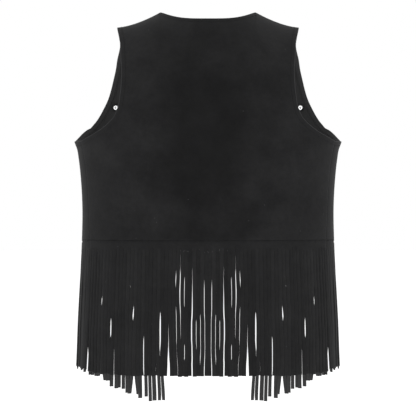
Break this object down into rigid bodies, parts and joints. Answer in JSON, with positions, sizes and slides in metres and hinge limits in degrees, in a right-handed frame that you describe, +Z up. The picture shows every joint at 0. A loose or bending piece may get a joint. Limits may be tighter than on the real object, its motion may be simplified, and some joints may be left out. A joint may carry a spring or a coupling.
{
  "type": "open western vest with a fringed hem, filled out as worn",
  "caption": "Open western vest of black imitation suede, filled out as worn, with long cut fringe under its hems and a rivet by each armhole.",
  "frame": {"origin": "middle of the line between the two shoulder seams, where the wearer's shoulders hold the vest up", "axes": "+Z up, +Y the way the wearer faces, +X towards the wearer's right, so the back of the vest faces -Y"},
  "size_m": [0.4256, 0.2233, 0.6341],
  "materials": {
    "suede": "matt black imitation suede with a short nap",
    "fringe_suede": "matt black imitation suede, cut edges",
    "rivet_steel": "bright satin"
  },
  "bodies": {
    "root": {"back": "suede", "front_left": "suede", "front_right": "suede", "fringe_back": "fringe_suede", "fringe_front_left": "fringe_suede", "fringe_front_right": "fringe_suede", "rivet_left": "rivet_steel", "rivet_right": "rivet_steel"}
  },
  "joints": []
}
